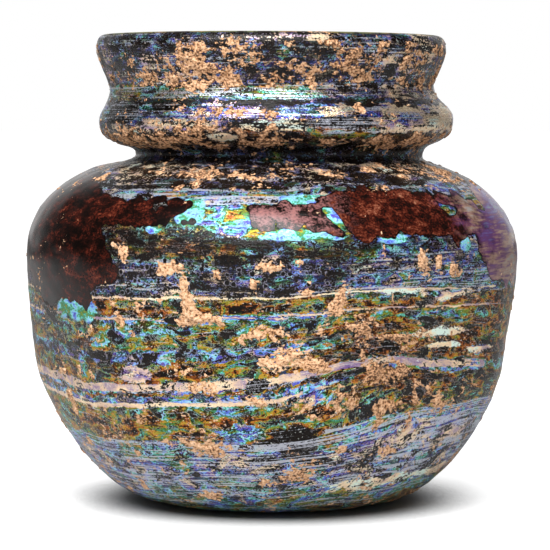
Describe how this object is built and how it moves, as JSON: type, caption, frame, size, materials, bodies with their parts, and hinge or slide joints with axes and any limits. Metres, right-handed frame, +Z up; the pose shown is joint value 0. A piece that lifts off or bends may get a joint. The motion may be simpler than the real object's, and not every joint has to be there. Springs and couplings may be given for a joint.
{
  "type": "dimpled glass jar",
  "caption": "Squat hollow jar of weathered blown glass, with dimples pressed round its body, a bulging collar round its neck and a wide flared mouth.",
  "frame": {"origin": "middle of the flat base, on the surface that the jar stands on", "axes": "+Z up through the mouth, the side shown in the picture towards -Y, and +X to its right"},
  "size_m": [0.09, 0.0895, 0.0848],
  "materials": {
    "weathered_glass": "opaque iridescent weathering crust over brown glass, with patches of tan soil"
  },
  "bodies": {
    "root": {"jar": "weathered_glass"}
  },
  "joints": []
}
